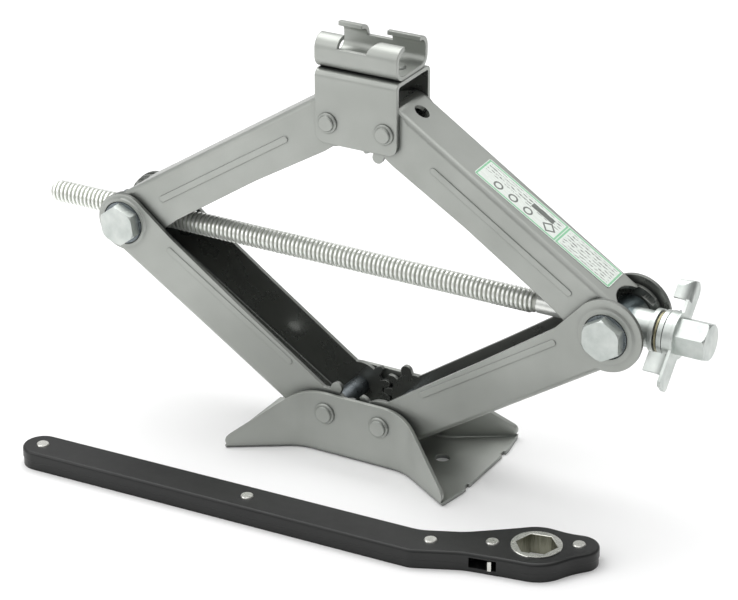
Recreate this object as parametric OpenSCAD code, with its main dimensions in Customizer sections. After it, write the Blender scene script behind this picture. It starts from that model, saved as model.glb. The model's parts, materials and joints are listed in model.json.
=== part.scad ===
// Scissor screw jack with a ratchet handle lying in front of it.
// +X runs along the screw to its drive end, +Z is up, and the front is towards -Y.
// The origin is the middle of the base's underside.

/* [Linkage] */
// Length of each arm between its pins
arm_len = 175; // [170:1:180]
// Distance between the two pins of the base, and of the top bracket
pin_gap = 38; // [37:0.5:39]
// Height of the base pins above the floor
base_pin_z = 27.6; // [27:0.2:29]
// Angle of the arms above the floor
rest_angle = 32.9; // [20:0.1:45]
// Radius of the riveted pivot pins
pin_r = 4.5; // [4:0.5:5]

/* [Arms] */
// Thickness of the arm's sheet
arm_sheet = 2.5; // [2:0.1:3]
// Outer half width of a lower arm
lower_half = 21.5; // [21:0.1:22]
// Outer half width of an upper arm
upper_half = 17.2; // [17:0.1:17.4]
// Distance from the pin line to the back of a lower arm's web
lower_web = 18; // [17.5:0.1:18.5]
// Distance from the pin line to the back of an upper arm's web
upper_web = 16.5; // [16:0.1:17]
// Radius of the lower left arm's ears at the trunnion
left_ear_r = 18.5; // [18:0.5:20]
// Radius of the lower right arm's ears at the trunnion
right_ear_r = 22.5; // [20:0.5:22.5]
// Radius of an upper arm's ear at the trunnion
upper_ear_r = 18; // [17.5:0.5:18]

/* [Gear ends] */
// Number of teeth on a full circle
gear_teeth = 12; // [12:1:12]
// Pressure angle in degrees
pressure_angle = 25; // [24:0.5:26]
// Tooth height above the pitch circle, in modules
addendum = 0.8; // [0.7:0.05:0.85]
// Root radius of the tooth gaps
gear_root_r = 15.7; // [15:0.1:16]

/* [Base and top] */
// Outer half width of the base between its bends
base_half = 26; // [25.8:0.1:26.5]
// Half length of the base along X
base_len = 76; // [72:1:80]
// Half width of the base at its ends
base_end_half = 51; // [46:1:54]
// Height of the base walls
base_wall_h = 41; // [40:0.5:42]
// Thickness of the base sheet
base_sheet = 2.5; // [2.5:0.1:2.8]
// Half length of the top bracket and of the saddle
top_len = 27.5; // [26:0.5:29]
// Outer half width of the top bracket
top_half = 20.4; // [20.2:0.1:21]
// Height of the saddle
saddle_h = 20.4; // [19:0.1:22]

/* [Screw] */
// Outer radius of the thread
screw_r = 7; // [6.8:0.1:7]
// Pitch of the thread
pitch = 3; // [3:0.5:4]
// Left end of the screw
screw_end_x = -233; // [-240:1:-225]
// Distance across the flats of the drive hexagon
hex_af = 21; // [19:1:22]

/* [Handle] */
// Thickness of the handle over both shells
handle_h = 12; // [11:0.5:13]
// Half width of the grip
grip_half = 12.4; // [11.5:0.1:13]
// Radius of the head around the socket
head_r = 22.5; // [22:0.5:24]
// Sheet thickness of the shells
shell_t = 1.6; // [1.2:0.1:1.8]

/* [Hidden] */
$fn = 64;
tiny = 0.05;
run_gap = 0.05;

trunnion_x = pin_gap / 2 + arm_len * cos(rest_angle);
screw_z = base_pin_z + arm_len * sin(rest_angle);
top_pin_z = base_pin_z + 2 * arm_len * sin(rest_angle);

// Gear ends of the arms
gear_module = pin_gap / gear_teeth;
gear_pitch_r = pin_gap / 2;
gear_base_r = gear_pitch_r * cos(pressure_angle);
gear_tip_r = gear_pitch_r + addendum * gear_module;
tooth_pitch = 360 / gear_teeth;
backlash_angle = 0.35;
mesh_angle = 147;
gear_outer_set = [-1.5, -0.5, 0.5, 1.5];
gear_inner_set = [-1, 0, 1];
// The rounded stop lugs on one flange of each arm
lug_angle = 76;
lug_r = 3.6;
lug_reach = 18;

// Arms
web_past_pin = 8;
web_gap = 7;
web_bite_r = 15.5;
web_bite_s = 2;
web_clear = 12;
ear_reach = 20;
arm_bend_r = 3.4;
arm_top = 26;
web_hole_r = 5;
bolt_r = 8;
ring_in_r = 14;
left_ring_r = 16.8;
right_ring_r = 18.2;
ring_h = 1.5;
rib_h = 0.6;
// Where the round hole in each arm's web is
lower_hole_s = 60;
upper_hole_s = 6.5;
// Each arm's flange rib: its start, its end, its height above the pin line and its radius
lower_rib = [38, 140, 8, 2];
upper_rib = [36, 142, -2, 2];

// Trunnions
block_half = 14;
block_r = 12;
block_boss_r = 11;
nut_half = 13;
bolt_thread_r = 6;
bolt_depth = 6;
head_af = 23;
head_face_y = 30;
head_turn_left = 22;
head_washer_t = 1.4;
spacer_w = 5;
side_gap = 0.05;

// Base
base_bend_x = 36;
base_flare = atan2(base_end_half - base_half, base_len - base_bend_x);
base_flare_r = 30;
base_flare_steps = 6;
base_end_bow = 3.5;
crown_x = 20;
crown_r = 43;
wall_slope = 41;
tip_x = 70.8;
tip_z = 5.6;
tip_r = 5.2;
foot_hole_x = 49.5;
foot_hole_r = 4.6;
notch_y = 24;
base_rivet_r = 6.8;
top_rivet_r = 6.4;
rivet_h = 3;
rivet_step = 1.5;
bush_r = 6;
base_washer_r = 10;

// Top bracket and saddle
bracket_below = 13.1;
bracket_above = 32.3;
bracket_sheet = 2.5;
bracket_bend_r = 4.5;
bracket_top = top_pin_z + bracket_above;
saddle_half = 18.8;
saddle_mid_y = -0.8;
saddle_sheet = 2.6;
saddle_r = 8;
saddle_shift = -0.5;
saddle_mouth = 9.5;
saddle_rivet_x = 17;
saddle_rivet_r = 3;
saddle_head_r = 5;
saddle_head_h = 1.4;

// Screw and its drive end
shank_r = 6;
thread_root_r = 5.4;
thread_end_x = trunnion_x - 53;
barrel_x = trunnion_x + 21.55;
race_t = 3;
ball_r = 1.45;
ball_ring_r = 9.8;
ball_count = 14;
collar_x = trunnion_x + 31.1;
collar_r = 14;
collar_t = 4.5;
yoke_t = 2;
hex_end_x = collar_x + 25;
drive_pin_r = 1.75;
drive_bore_end_x = collar_x + 17;
yoke_angle = 45;
yoke_reach = 34;
yoke_back = 7;
yoke_front = 6;
yoke_flange = 8;
yoke_low_flange = 11;
yoke_bend_r = 6.5;
yoke_lip_from = 20;
yoke_low_lip = 27;

hex_turn = -52.4;
drive_end_r = 5;
race_r = 13.2;
cage_t = 1.2;
race_gap = 0.6;
race_2_x = collar_x - race_gap - race_t;
ball_x = (barrel_x + race_t + race_2_x) / 2;

// Label on the upper right arm: where it starts from the top pin, and its size
label_s = 54;
label_len = 103;
label_w = 21.6;
label_t = 0.25;
label_tilt = 1.8;

// Handle: where its rivets and its socket lie on the floor
grip_end = [-164.2, -120.4];
grip_mid = [-20.9, -114.6];
handle_bend = [90.5, -110.9];
neck_rivet = [98.7, -106.9];
pawl_pivot = [130.9, -91.4];
socket_at = [154.7, -82.1];
tip_at = [175.8, -69.6];
tip_round_r = 12;
waist_at = 14;
waist_r = 15.2;
waist_ease = 5;
neck_len = 30;
neck_half = 12.6;
flare_r = 20;
flare_back = 9;
seam_z = 5.6;
shell_step = 0.4;
handle_rivet_r = 2;
handle_rivet_head_r = 4;
handle_rivet_head_h = 0.8;
hub_r = 15;
hub_proud = 0.6;
window_at = [-38.5, -26, 2.7];
window_size = [16, 16, 6.7];
ratchet_tip_r = 18.6;
ratchet_root_r = 17.2;
ratchet_teeth = 24;
ratchet_z0 = 2;
ratchet_z1 = 10;
socket_af = 21.4;
pawl_z0 = 3;
pawl_z1 = 9;
pawl_hub_r = 4.4;
pawl_mesh = 30;
pawl_swing = 6;
pawl_tail = 18.5;
pawl_tail_half = 1.1;
pawl_root_r = 2.6;
pawl_elbow = [6.6, 9.4];
pawl_elbow_r = 1.8;
spring_turns = 5;
spring_coil_r = 1.4;
spring_wire_r = 0.3;
plunger_r = 1.9;

head_angle = atan2(socket_at[1] - handle_bend[1], socket_at[0] - handle_bend[0]);
tip_angle = atan2(tip_at[1] - socket_at[1], tip_at[0] - socket_at[0]);
// The circles that the handle's outline runs around: each one's centre and radius
handle_circles = [
    [grip_end, grip_half],
    [handle_bend, neck_half],
    [handle_bend + polar(neck_len, head_angle), neck_half],
    [socket_at - polar(flare_back, head_angle), flare_r],
    [socket_at, head_r],
    [socket_at + polar(waist_at, tip_angle), waist_r],
    [tip_at, tip_round_r]
];
arc_step = 7.5;
handle_rivet_places = [grip_end, grip_mid, neck_rivet, pawl_pivot, tip_at];
socket_turn = 12;
pawl_reach = norm(socket_at - pawl_pivot);
pawl_line = atan2(pawl_pivot[1] - socket_at[1], pawl_pivot[0] - socket_at[0]);
plunger_back_x = -44;
spring_room = 4;
guide_wall = 2;
guide_len = 10;
guide_half = 3.4;
guide_top = 8.4;
plunger_z = (pawl_z0 + pawl_z1) / 2;

// ---- shared shapes ----

// A point at a distance and an angle
function polar(r, a) = [r * cos(a), r * sin(a)];

// A cylinder along Y between two distances from the middle plane
module rod_y(r, y0, y1) {
    translate([0, y1, 0])
        rotate([90, 0, 0])
            cylinder(r = r, h = y1 - y0);
}

// A cylinder along X
module rod_x(r, x0, x1) {
    translate([x0, 0, 0])
        rotate([0, 90, 0])
            cylinder(r = r, h = x1 - x0);
}

// A flat shape in the X-Z plane, made thick along Y
module plate_y(y0, y1) {
    translate([0, y1, 0])
        rotate([90, 0, 0])
            linear_extrude(y1 - y0)
                children();
}

// A flat shape in the Y-Z plane, made thick along X
module plate_x(x0, x1) {
    translate([x0, 0, 0])
        rotate([90, 0, 90])
            linear_extrude(x1 - x0)
                children();
}

// The same shape at the front and at the back
module both_sides() {
    children();
    mirror([0, 1, 0])
        children();
}

// A rectangle with round corners
module round_rect(x0, y0, x1, y1, r) {
    translate([x0 + r, y0])
        square([x1 - x0 - 2 * r, y1 - y0]);
    translate([x0, y0 + r])
        square([x1 - x0, y1 - y0 - 2 * r]);
    for (x = [x0 + r, x1 - r], y = [y0 + r, y1 - r])
        translate([x, y])
            circle(r = r);
}

// A ring around an axis along Y
module ring_y(r_in, r_out, y0, y1) {
    difference() {
        rod_y(r_out, y0, y1);
        rod_y(r_in, y0 - 1, y1 + 1);
    }
}

// ---- gear ends ----

function involute(a) = tan(a) * 180 / PI - a;

// Half of a tooth's angle at a radius
function tooth_half(r) =
    90 / gear_teeth - backlash_angle + involute(pressure_angle)
    - involute(acos(min(1, gear_base_r / r)));

// One tooth with involute flanks, pointing along an angle
module gear_tooth(angle) {
    radii = [for (i = [0:4]) gear_base_r + (gear_tip_r - gear_base_r) * i / 4];
    foot = gear_root_r - 1.5;
    foot_half = tooth_half(gear_base_r);
    rotate(angle)
        polygon(concat(
            [polar(foot, -foot_half)],
            [for (r = radii) polar(r, -tooth_half(r))],
            [for (i = [4:-1:0]) polar(radii[i], tooth_half(radii[i]))],
            [polar(foot, foot_half)]
        ));
}

// The end of a flange: a root disc and its teeth
module gear_end(steps) {
    circle(r = gear_root_r);
    for (k = steps)
        gear_tooth(mesh_angle + k * tooth_pitch);
}

// The rounded stop lug beside the teeth
module stop_lug() {
    rotate(lug_angle) {
        translate([lug_reach, 0])
            circle(r = lug_r);
        translate([0, -lug_r])
            square([lug_reach, 2 * lug_r]);
    }
}

// ---- arms, drawn with the geared pin at the origin and the trunnion at +X ----

// A channel's cross section, open at the top
module channel_section(half, web, sheet, bend_r) {
    difference() {
        round_rect(-half, -web, half, arm_top + bend_r, bend_r);
        round_rect(-half + sheet, -web + sheet, half - sheet, arm_top + 2 * bend_r, bend_r - sheet);
    }
}

// Side view of an arm between its two ends. edge lists the free edge's points.
module arm_side(web, edge, ear_r) {
    corner_r = 8;
    polygon(concat(
        [[0, -web], [arm_len - web_gap, -web], [arm_len, 0]],
        [for (i = [len(edge) - 1:-1:0]) edge[i]],
        [[0, 0]]
    ));
    translate([0, -web + corner_r])
        circle(r = corner_r);
    circle(r = gear_root_r);
    translate([arm_len, 0])
        circle(r = ear_r);
}

// Where a line from a point touches the circle of an ear, a hair inside it
function ear_touch(p, ear_r) =
    let (from = p - [arm_len, 0], a = atan2(from[1], from[0]) - acos(ear_r / norm(from)))
    [arm_len, 0] + polar(0.995 * ear_r, a);

// A long rib pressed outwards along both flanges
module flange_ribs(half, s0, s1, n, r) {
    both_sides()
        plate_y(half - tiny, half + rib_h) {
            translate([s0, n - r])
                square([s1 - s0, 2 * r]);
            for (s = [s0, s1])
                translate([s, n])
                    circle(r = r);
        }
}

// One arm. hole_s is where the round hole in its web is, and lug_y the side with the lug.
module arm(half, web, edge, ear_r, pin_hole_r, hole_s, rib, lug_y) {
    difference() {
        union() {
            intersection() {
                plate_x(-web_past_pin, arm_len - web_gap)
                    channel_section(half, web, arm_sheet, arm_bend_r);
                plate_y(-half, half)
                    arm_side(web, edge, ear_r);
            }
            plate_y(-half, -half + arm_sheet)
                gear_end(gear_outer_set);
            plate_y(half - arm_sheet, half)
                gear_end(gear_inner_set);
            mirror([0, lug_y < 0 ? 1 : 0, 0])
                plate_y(half - arm_sheet, half)
                    stop_lug();
            both_sides()
                plate_y(half - arm_sheet, half) {
                    translate([arm_len, 0])
                        circle(r = ear_r);
                    intersection() {
                        arm_side(web, edge, ear_r);
                        translate([arm_len - ear_reach, 0])
                            square([ear_reach, ear_r]);
                    }
                }
            flange_ribs(half, rib[0], rib[1], rib[2], rib[3]);
        }
        rod_y(pin_hole_r, -half - 1, half + 1);
        translate([arm_len, 0, 0])
            rod_y(bolt_r + run_gap, -half - 1, half + 1);
        translate([hole_s, 0, -web - 1])
            cylinder(r = web_hole_r, h = arm_sheet + 2);
    }
}

// The pressed ring around the bolt's head on a lower arm's ear
module ear_rings(ring_out_r) {
    both_sides()
        translate([arm_len, lower_half, 0])
            rotate([-90, 0, 0])
                difference() {
                    translate([0, 0, -tiny])
                        cylinder(r1 = ring_out_r, r2 = ring_out_r - 1, h = ring_h + tiny);
                    translate([0, 0, -1])
                        cylinder(r = ring_in_r, h = ring_h + 2);
                }
}

module lower_arm(ear_r, ring_r) {
    edge = [[8, 11], [12, 11.5], [85, 13.2], [145, 15.4]];
    room = upper_half + rib_h + 0.2;
    difference() {
        arm(lower_half, lower_web, concat(edge, [ear_touch(edge[3], ear_r)]), ear_r,
            pin_r + run_gap, lower_hole_s, lower_rib, 1);
        translate([arm_len - web_clear, -room, -lower_web - 1])
            cube([web_clear, 2 * room, arm_sheet + 2]);
    }
    ear_rings(ring_r);
}

module upper_arm(pin_hole_r) {
    edge = [[8, 14.2], [14, 14.6], [70, 12.8], [140, 13.6]];
    difference() {
        arm(upper_half, upper_web, concat(edge, [ear_touch(edge[3], upper_ear_r)]), upper_ear_r,
            pin_hole_r, upper_hole_s, upper_rib, -1);
        translate([arm_len + web_bite_s, 0, -upper_web - 1])
            cylinder(r = web_bite_r, h = arm_sheet + 2);
    }
}

module place_lower_right() {
    translate([pin_gap / 2, 0, base_pin_z])
        rotate([0, -rest_angle, 0])
            children();
}

module place_upper_right() {
    translate([pin_gap / 2, 0, top_pin_z])
        mirror([0, 0, 1])
            rotate([0, -rest_angle, 0])
                children();
}

module lower_right_arm() {
    color("silver")
        place_lower_right()
            lower_arm(right_ear_r, right_ring_r);
}

module lower_left_arm() {
    color("silver")
        rotate([0, 0, 180])
            place_lower_right()
                lower_arm(left_ear_r, left_ring_r);
}

module upper_right_arm() {
    color("silver")
        place_upper_right()
            upper_arm(pin_r + 0.25);
}

module upper_left_arm() {
    color("silver")
        rotate([0, 0, 180])
            place_upper_right()
                upper_arm(pin_r + run_gap);
}

// ---- base ----

// The curve by which a wall flares outwards, at a radius about the flare's centre
function flare_arc(r) =
    let (
        x = base_bend_x - base_flare_r * tan(base_flare / 2),
        y = base_half + base_flare_r
    )
    [for (i = [0:base_flare_steps])
        [x, y] + polar(r, base_flare * i / base_flare_steps - 90)];

// A closed outline from its quarter in +X +Y, which runs from the middle to the end
function four_ways(q) =
    let (back = [for (i = [len(q) - 1:-1:0]) q[i]])
    concat(
        q, [for (p = back) [p[0], -p[1]]],
        [for (p = q) -p], [for (p = back) [-p[0], p[1]]]
    );

// Plan view of the base: a bow tie with slightly bowed ends
module base_plan() {
    polygon(four_ways(concat(
        flare_arc(base_flare_r),
        [[base_len, base_end_half], [base_len + base_end_bow, base_end_half * 0.6]]
    )));
}

// Plan view of the space between the walls, open at both ends
module base_inside() {
    inner = flare_arc(base_flare_r + base_sheet);
    polygon(four_ways(concat(inner, [inner[base_flare_steps] + polar(base_len, base_flare)])));
}

// Side view of a base wall: an arched crown, straight slopes and round tips
module base_wall_outline() {
    right = concat(
        [for (i = [0:7]) let (a = i * wall_slope / 7)
            [crown_x + crown_r * sin(a), base_wall_h - crown_r * (1 - cos(a))]],
        [for (i = [0:4]) let (a = wall_slope + i * (125 - wall_slope) / 4)
            [tip_x + tip_r * sin(a), tip_z + tip_r * cos(a)]],
        [[base_len - 1, 0]]
    );
    left = [for (i = [len(right) - 1:-1:0]) [-right[i][0], right[i][1]]];
    polygon(concat(right, left));
}

module at_base_pins() {
    for (x = [-pin_gap / 2, pin_gap / 2])
        translate([x, 0, base_pin_z])
            children();
}

module base_plate() {
    color("silver")
        difference() {
            union() {
                linear_extrude(base_sheet)
                    base_plan();
                intersection() {
                    linear_extrude(base_wall_h)
                        difference() {
                            base_plan();
                            base_inside();
                        }
                    plate_y(-base_end_half, base_end_half)
                        base_wall_outline();
                }
            }
            at_base_pins()
                rod_y(pin_r, -base_half - 1, base_half + 1);
            for (x = [-foot_hole_x, foot_hole_x])
                translate([x, 0, -1])
                    cylinder(r = foot_hole_r, h = base_sheet + 2);
            for (x = [-1, 1], y = [-notch_y, notch_y])
                translate([x * (base_len + base_end_bow), y, base_sheet / 2])
                    cube([3, 5, base_sheet + 2], center = true);
        }
}

// A pin with two heads, each a bevelled disc with a smaller bevelled disc on it
module riveted_pin(half, head_r) {
    bevel = 0.6;
    step_h = rivet_h / 2;
    rod_y(pin_r, -half - tiny, half + tiny);
    both_sides()
        translate([0, half, 0])
            rotate([-90, 0, 0])
                for (i = [0, 1])
                    translate([0, 0, i * step_h]) {
                        cylinder(r = head_r - i * rivet_step, h = step_h - bevel);
                        translate([0, 0, step_h - bevel])
                            cylinder(
                                r1 = head_r - i * rivet_step,
                                r2 = head_r - i * rivet_step - bevel, h = bevel);
                    }
}

module base_pivot_pins() {
    color("gainsboro")
        at_base_pins()
            riveted_pin(base_half, base_rivet_r);
}

module base_spacer_bushes() {
    half = lower_half - arm_sheet - side_gap;
    color("dimgray")
        at_base_pins()
            ring_y(pin_r, bush_r, -half, half);
}

module base_thrust_washers() {
    color("gainsboro")
        at_base_pins()
            both_sides()
                ring_y(pin_r, base_washer_r, lower_half + side_gap, base_half - base_sheet);
}

// ---- trunnions ----

module at_left_trunnion() {
    translate([-trunnion_x, 0, screw_z])
        children();
}

module at_right_trunnion() {
    translate([trunnion_x, 0, screw_z])
        children();
}

// The holes in a block's two ends for the shoulder bolts
module bolt_holes() {
    both_sides()
        rod_y(bolt_thread_r, block_half - bolt_depth, block_half + 1);
}

module nut_block() {
    color("gray")
        at_left_trunnion()
            difference() {
                union() {
                    rod_y(block_r, -block_half, block_half);
                    rod_x(block_boss_r, -nut_half, nut_half);
                }
                rod_x(screw_r + run_gap, -nut_half - 1, nut_half + 1);
                bolt_holes();
            }
}

module bearing_block() {
    color("lightgray")
        at_right_trunnion()
            difference() {
                union() {
                    rod_y(block_r, -block_half, block_half);
                    rod_x(block_boss_r, 0, barrel_x - trunnion_x);
                }
                rod_x(shank_r + run_gap, -block_r - 1, barrel_x - trunnion_x + 1);
                bolt_holes();
            }
}

// A hexagonal head with a bevelled face, standing on y0
module hex_head(y0, y1, turn) {
    translate([0, y0, 0])
        rotate([-90, 0, 0])
            bevelled_hex(head_af, y1 - y0, turn, 1.3);
}

// A hexagonal prism whose far corners are turned off at 45 degrees
module bevelled_hex(af, h, turn, bevel) {
    across = af / cos(30) / 2;
    intersection() {
        rotate(turn)
            cylinder(r = across, h = h, $fn = 6);
        union() {
            translate([0, 0, -1])
                cylinder(r = across + 1, h = h - 2 * bevel + 1);
            translate([0, 0, h - 2 * bevel - tiny])
                cylinder(r1 = across + bevel + tiny, r2 = across - bevel, h = 2 * bevel + tiny);
        }
    }
}

// A shoulder bolt: threaded end in the block, shoulder through both ears, head outside
module shoulder_bolts(turn) {
    head_y = lower_half + side_gap + head_washer_t;
    both_sides() {
        rod_y(bolt_thread_r, block_half - bolt_depth, block_half + tiny);
        rod_y(bolt_r, block_half, head_y + tiny);
        hex_head(head_y, head_face_y, turn);
    }
}

module head_washers() {
    y0 = lower_half + side_gap;
    both_sides()
        ring_y(bolt_r, ring_in_r - 0.6, y0, y0 + head_washer_t);
}

module spacer_washers() {
    both_sides()
        ring_y(bolt_r, bolt_r + spacer_w, upper_half + side_gap, lower_half - arm_sheet - side_gap);
}

module left_shoulder_bolts() {
    color("whitesmoke")
        at_left_trunnion()
            shoulder_bolts(head_turn_left);
}

module left_head_washers() {
    color("gainsboro")
        at_left_trunnion()
            head_washers();
}

module left_spacer_washers() {
    color("gainsboro")
        at_left_trunnion()
            spacer_washers();
}

module right_shoulder_bolts() {
    color("whitesmoke")
        at_right_trunnion()
            shoulder_bolts(90);
}

module right_head_washers() {
    color("gainsboro")
        at_right_trunnion()
            head_washers();
}

module right_spacer_washers() {
    color("gainsboro")
        at_right_trunnion()
            spacer_washers();
}

// ---- thrust bearing ----

module on_screw() {
    translate([0, 0, screw_z])
        children();
}

// A ring around the screw
module ring_x(r_in, r_out, x0, x1) {
    difference() {
        rod_x(r_out, x0, x1);
        rod_x(r_in, x0 - 1, x1 + 1);
    }
}

module thrust_race_fixed() {
    color("gainsboro")
        on_screw()
            ring_x(shank_r + run_gap, race_r, barrel_x, barrel_x + race_t);
}

// The balls' places, half way between the races
module at_balls() {
    for (i = [0:ball_count - 1])
        translate([ball_x, 0, 0])
            rotate([i * 360 / ball_count, 0, 0])
                translate([0, 0, ball_ring_r])
                    children();
}

module thrust_balls() {
    color("lightsteelblue")
        on_screw()
            at_balls()
                sphere(r = ball_r, $fn = 24);
}

module thrust_ball_cage() {
    color("darkkhaki")
        on_screw()
            difference() {
                ring_x(shank_r + 1, race_r - 0.8, ball_x - cage_t / 2, ball_x + cage_t / 2);
                for (i = [0:ball_count - 1])
                    rotate([i * 360 / ball_count, 0, 0])
                        translate([0, 0, ball_ring_r])
                            rod_x(ball_r, ball_x - cage_t, ball_x + cage_t);
            }
}

module thrust_race_turning() {
    color("gainsboro")
        on_screw()
            ring_x(shank_r, race_r + 0.4, race_2_x, race_2_x + race_t);
}

// ---- screw and drive end ----

// Half outline of the screw: ring grooves, a plain shank and a thinner end
function groove(x) = [
    [screw_r, x], [screw_r, x + pitch * 0.32],
    [thread_root_r, x + pitch * 0.5], [thread_root_r, x + pitch * 0.82]
];

module lead_screw() {
    turns = floor((thread_end_x - screw_end_x - pitch) / pitch);
    first = screw_end_x + 1.5;
    color("lightgray")
        difference() {
            on_screw()
                rotate([0, 90, 0])
                    rotate_extrude($fn = 48)
                        polygon(concat(
                            [[0, screw_end_x], [thread_root_r, screw_end_x]],
                            [for (i = [0:turns - 1]) each groove(first + i * pitch)],
                            [
                                [shank_r, first + turns * pitch + 1],
                                [shank_r, collar_x], [drive_end_r, collar_x],
                                [drive_end_r, drive_bore_end_x], [0, drive_bore_end_x]
                            ]
                        ));
            drive_pin_hole(collar_r);
        }
}

module drive_pin_hole(half) {
    on_screw()
        translate([collar_x + collar_t / 2, 0, 0])
            rotate([-yoke_angle, 0, 0])
                translate([0, 0, -half])
                    cylinder(r = drive_pin_r, h = 2 * half);
}

module drive_head() {
    color("whitesmoke")
        difference() {
            on_screw() {
                rod_x(collar_r, collar_x, collar_x + collar_t);
                translate([collar_x + 1, 0, 0])
                    rotate([0, 90, 0])
                        bevelled_hex(hex_af, hex_end_x - collar_x - 1, hex_turn, 1.6);
            }
            on_screw()
                rod_x(drive_end_r, collar_x - 1, drive_bore_end_x);
            drive_pin_hole(collar_r + 1);
        }
}

module drive_pin() {
    color("dimgray")
        drive_pin_hole(collar_r + 0.6);
}

// Bent strip with an ear on each side of the hexagon
module drive_yoke() {
    x0 = collar_x + collar_t;
    x1 = x0 + yoke_t;
    across = (hex_af + 0.1) / cos(30) / 2;
    color("gainsboro")
        on_screw()
            difference() {
                rotate([-yoke_angle, 0, 0]) {
                    plate_x(x0, x1)
                        yoke_face();
                    yoke_lip(x0, x1, yoke_flange, yoke_lip_from, yoke_reach);
                    yoke_lip(x0, x1, yoke_low_flange, -yoke_low_lip, -collar_r - 1);
                }
                translate([x0 - 1, 0, 0])
                    rotate([0, 90, 0])
                        rotate(hex_turn)
                            cylinder(r = across, h = yoke_t + 2, $fn = 6);
            }
}

// The flat of the yoke, seen along the screw
module yoke_face() {
    circle(r = collar_r);
    intersection() {
        yoke_round();
        union() {
            translate([-yoke_back, -yoke_reach])
                square([yoke_back + yoke_front, yoke_reach + yoke_lip_from]);
            translate([-yoke_back + yoke_bend_r, 0])
                square([yoke_back + yoke_front - yoke_bend_r, yoke_reach]);
        }
    }
}

// Outline that rounds the yoke's two ends
module yoke_round() {
    top_r = (yoke_back + yoke_front) / 2;
    translate([yoke_front - top_r, yoke_reach - top_r])
        circle(r = top_r);
    round_rect(-yoke_back, -yoke_reach, yoke_front, yoke_reach - top_r, 3);
    translate([-yoke_back, 0])
        square([2 * top_r, yoke_reach - top_r]);
}

// The folded lip on the yoke's edge between two heights, reaching back by a flange
module yoke_lip(x0, x1, flange, z0, z1) {
    bend_x = x1 - yoke_bend_r;
    intersection() {
        translate([0, 0, z0])
            linear_extrude(z1 - z0) {
                translate([bend_x, -yoke_back + yoke_bend_r])
                    intersection() {
                        difference() {
                            circle(r = yoke_bend_r);
                            circle(r = yoke_bend_r - yoke_t);
                        }
                        translate([-tiny, -yoke_bend_r])
                            square([yoke_bend_r + tiny, yoke_bend_r + tiny]);
                    }
                translate([x0 - flange, -yoke_back])
                    square([bend_x - x0 + flange, yoke_t]);
            }
        plate_x(x0 - flange - 1, x1 + 1)
            yoke_round();
    }
}

// ---- top ----

module at_top_pins() {
    for (x = [-pin_gap / 2, pin_gap / 2])
        translate([x, 0, top_pin_z])
            children();
}

module saddle_rivet_holes() {
    for (x = [-saddle_rivet_x, saddle_rivet_x])
        translate([x, 0, bracket_top - 10])
            cylinder(r = saddle_rivet_r, h = 20);
}

module top_bracket() {
    low = top_pin_z - bracket_below;
    in_r = bracket_bend_r - bracket_sheet;
    color("silver")
        difference() {
            intersection() {
                plate_x(-top_len, top_len)
                    difference() {
                        round_rect(-top_half, low - 10, top_half, bracket_top, bracket_bend_r);
                        round_rect(
                            -top_half + bracket_sheet, low - 20,
                            top_half - bracket_sheet, bracket_top - bracket_sheet, in_r);
                    }
                plate_y(-top_half, top_half)
                    round_rect(-top_len, low, top_len, bracket_top + 20, 6);
            }
            at_top_pins()
                rod_y(pin_r, -top_half - 1, top_half + 1);
            saddle_rivet_holes();
        }
}

module top_pivot_pins() {
    color("gainsboro")
        at_top_pins()
            riveted_pin(top_half, top_rivet_r);
}

module top_spacer_bushes() {
    half = upper_half - arm_sheet - side_gap;
    color("dimgray")
        at_top_pins()
            ring_y(pin_r, bush_r, -half, half);
}

// Side view of the gap in the saddle's front wall, with a rounded right shoulder
module saddle_front_gap() {
    floor_z = bracket_top + 14.3;
    shoulder_x = 6.5;
    shoulder_r = 6;
    shoulder_z = bracket_top + saddle_h - shoulder_r;
    translate([-13, floor_z])
        square([shoulder_x + 13, 20]);
    difference() {
        translate([shoulder_x - tiny, shoulder_z])
            square([shoulder_r, 20]);
        translate([shoulder_x + shoulder_r, shoulder_z])
            circle(r = shoulder_r);
    }
}

// Side view of the gap in the saddle's back wall
module saddle_back_gap() {
    translate([-12, bracket_top + 12.5])
        square([17, 20]);
}

module saddle() {
    x0 = -top_len + saddle_shift;
    x1 = top_len + saddle_shift;
    top = bracket_top + saddle_h;
    color("silver")
        difference() {
            translate([0, saddle_mid_y, 0])
                plate_x(x0, x1)
                    difference() {
                        round_rect(-saddle_half, bracket_top, saddle_half, top, saddle_r);
                        round_rect(
                            -saddle_half + saddle_sheet, bracket_top + saddle_sheet,
                            saddle_half - saddle_sheet, top - saddle_sheet, saddle_r - saddle_sheet);
                        translate([-saddle_mouth, top - saddle_r])
                            square([2 * saddle_mouth, saddle_r + 1]);
                    }
            plate_y(-saddle_half - 2, 0)
                saddle_front_gap();
            plate_y(0, saddle_half + 2)
                saddle_back_gap();
            saddle_rivet_holes();
        }
}

module saddle_rivets() {
    under = bracket_top - bracket_sheet;
    over = bracket_top + saddle_sheet;
    color("gainsboro")
        for (x = [-saddle_rivet_x, saddle_rivet_x])
            translate([x, 0, 0]) {
                translate([0, 0, under - saddle_head_h])
                    cylinder(r = saddle_head_r, h = saddle_head_h);
                translate([0, 0, under - tiny])
                    cylinder(r = saddle_rivet_r, h = over - under + 2 * tiny);
                translate([0, 0, over])
                    cylinder(r1 = saddle_head_r, r2 = saddle_head_r - 1, h = saddle_head_h);
            }
}

module instruction_label() {
    color("honeydew")
        place_upper_right()
            translate([label_s + label_len / 2, label_len * tan(label_tilt) / 2 - 0.3, 0])
                rotate(label_tilt)
                    translate([-label_len / 2, -label_w / 2, -upper_web - label_t])
                        cube([label_len, label_w, label_t]);
}

// ---- ratchet handle ----

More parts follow.
